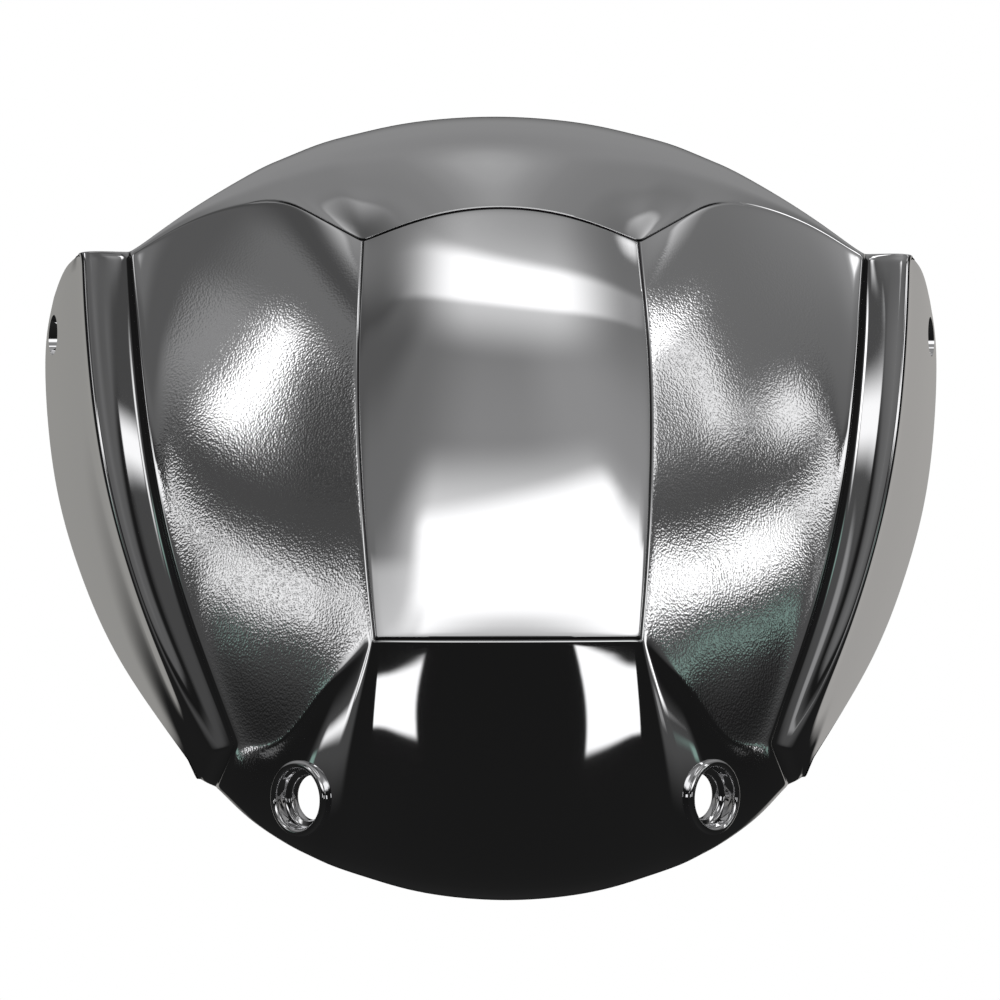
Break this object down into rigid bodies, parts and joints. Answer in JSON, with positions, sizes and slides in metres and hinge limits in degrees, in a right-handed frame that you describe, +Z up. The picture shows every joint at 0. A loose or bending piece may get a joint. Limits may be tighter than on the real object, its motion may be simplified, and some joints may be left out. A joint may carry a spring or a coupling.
{
  "type": "headlight cowl",
  "caption": "Plated headlight cowl: a domed, open-backed shell with grained flanks, side walls with through holes and recessed lower screw seats.",
  "frame": {"origin": "middle of the axis that runs through both side holes", "axes": "+Z up as fitted, the front faces -Y, +X towards the side hole on the right in a view from the front"},
  "size_m": [0.194, 0.09, 0.155],
  "materials": {
    "chrome": "polished, with leather-grained flanks"
  },
  "bodies": {
    "root": {"cowl": "chrome"}
  },
  "joints": []
}
